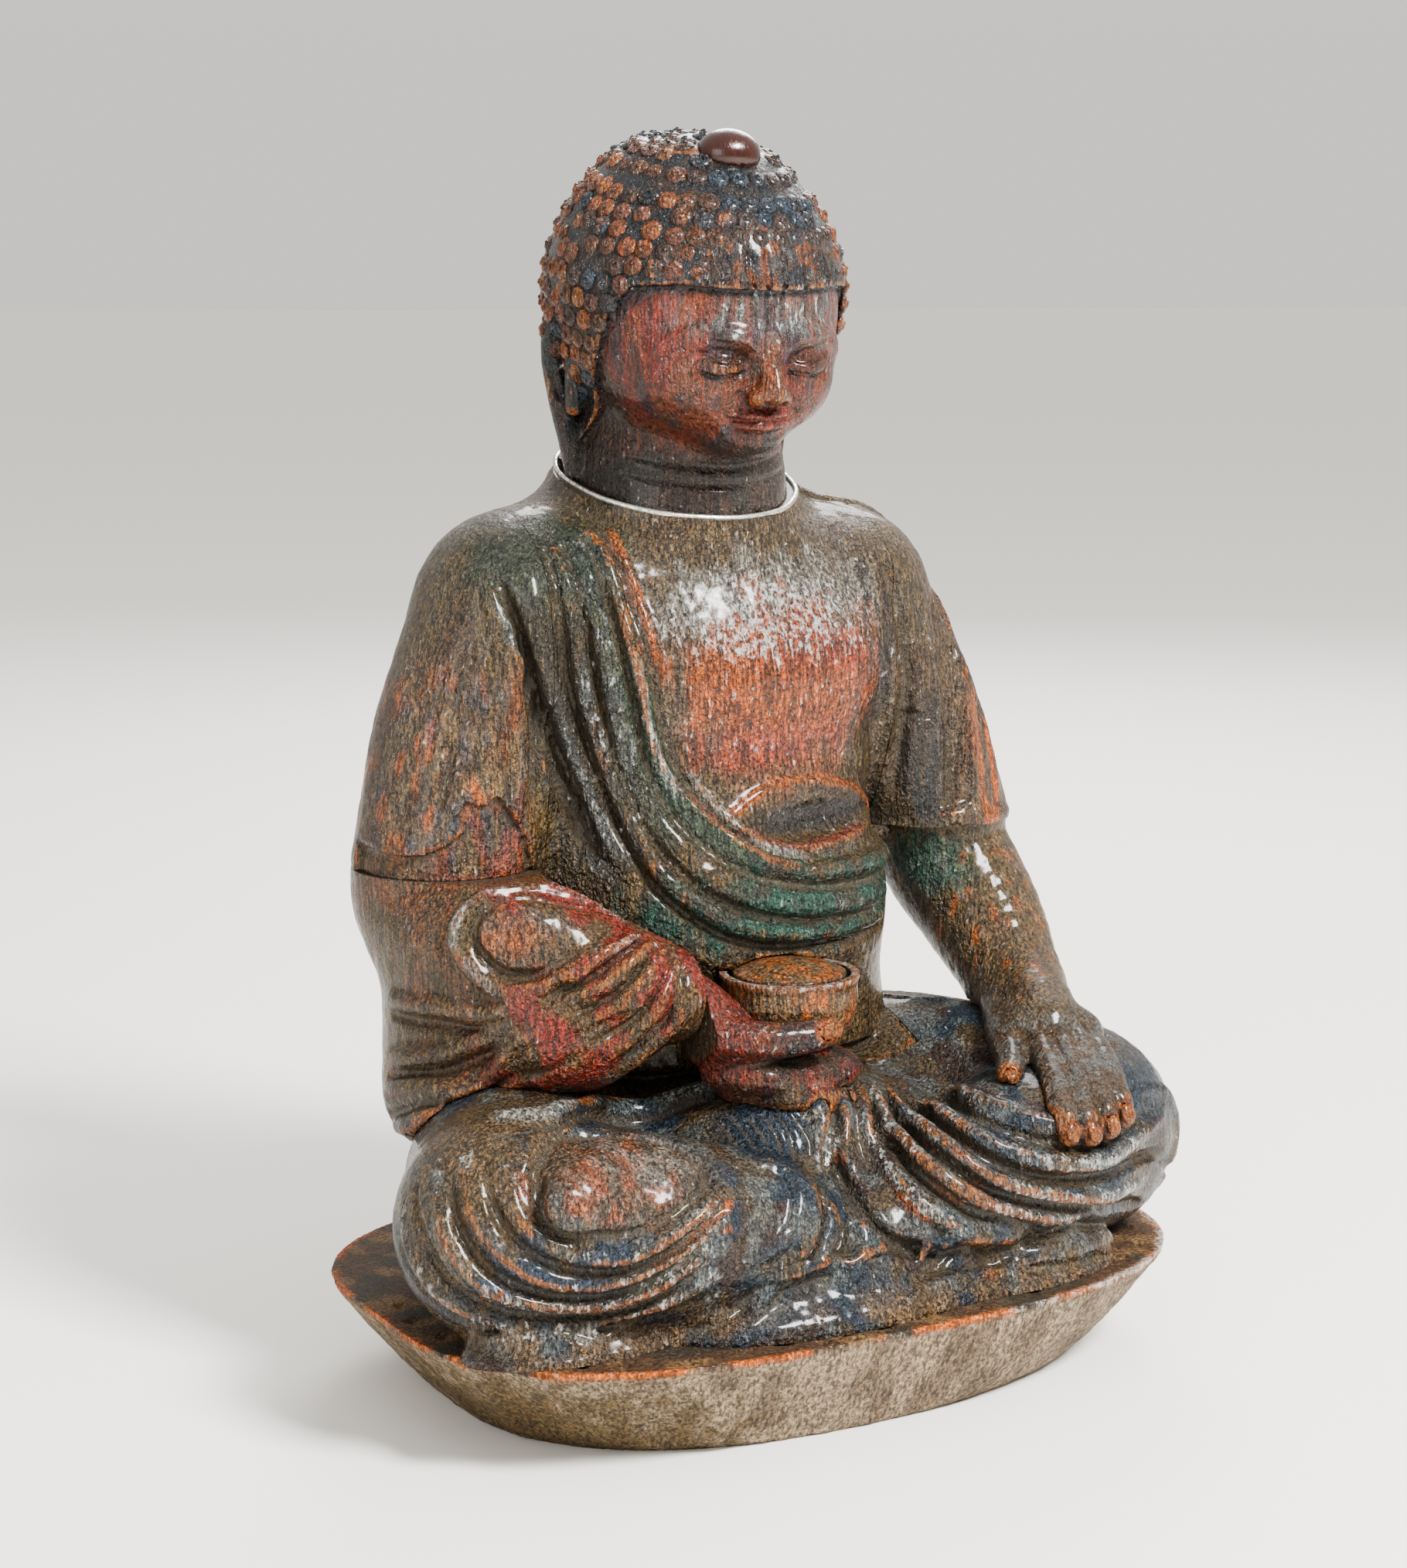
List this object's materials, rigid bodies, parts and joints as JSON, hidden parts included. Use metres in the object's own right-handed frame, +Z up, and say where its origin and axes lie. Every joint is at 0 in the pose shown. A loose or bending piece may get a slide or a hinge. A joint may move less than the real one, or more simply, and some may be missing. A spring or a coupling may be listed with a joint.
{
  "type": "buddha statue",
  "caption": "Seated buddha statue in worn lacquered wood, cross-legged, alms bowl in the lap and one hand on the knee.",
  "frame": {"origin": "centre of the underside of the base", "axes": "+Z up, the figure faces -Y, its left side is +X"},
  "size_m": [0.278, 0.19, 0.4009],
  "materials": {
    "board_wood": "weathered bare wood with traces of lacquer",
    "slate_lacquer": "worn crackled slate-blue lacquer, orange wood on the ridges",
    "robe_lacquer": "worn crackled brown-black and teal lacquer, bare copper-red chest",
    "brown_lacquer": "dusty olive-brown lacquer",
    "red_lacquer": "worn glossy brick-red lacquer",
    "bowl_lacquer": "worn orange-brown lacquer",
    "face_lacquer": "worn red-orange lacquer with blue-grey patches",
    "jewel_lacquer": "smooth glossy reddish-brown lacquer",
    "bright_wire": "bright wire",
    "dowel_wood": "bare wood"
  },
  "bodies": {
    "root": {"base": "board_wood", "lap_block": "slate_lacquer", "right_hip_block": "slate_lacquer", "left_hip_block": "slate_lacquer", "trunk": "robe_lacquer", "back_board": "robe_lacquer", "right_upper_arm": "brown_lacquer", "left_upper_arm": "brown_lacquer", "right_forearm": "red_lacquer", "left_forearm": "brown_lacquer", "right_hand": "brown_lacquer", "alms_bowl": "bowl_lacquer", "head": "face_lacquer", "crown_jewel": "jewel_lacquer", "neck_ring": "bright_wire", "base_dowel_1": "dowel_wood", "base_dowel_2": "dowel_wood", "base_dowel_3": "dowel_wood", "base_dowel_4": "dowel_wood", "lap_dowel_1": "dowel_wood", "lap_dowel_2": "dowel_wood", "lap_dowel_3": "dowel_wood", "right_hip_dowel": "dowel_wood", "left_hip_dowel": "dowel_wood", "right_shoulder_dowel_1": "dowel_wood", "right_shoulder_dowel_2": "dowel_wood", "left_shoulder_dowel_1": "dowel_wood", "left_shoulder_dowel_2": "dowel_wood", "right_elbow_dowel": "dowel_wood", "left_elbow_dowel": "dowel_wood", "right_wrist_dowel": "dowel_wood", "bowl_peg": "dowel_wood", "back_board_peg_1": "dowel_wood", "back_board_peg_2": "dowel_wood", "back_board_peg_3": "dowel_wood", "back_board_peg_4": "dowel_wood"}
  },
  "joints": []
}
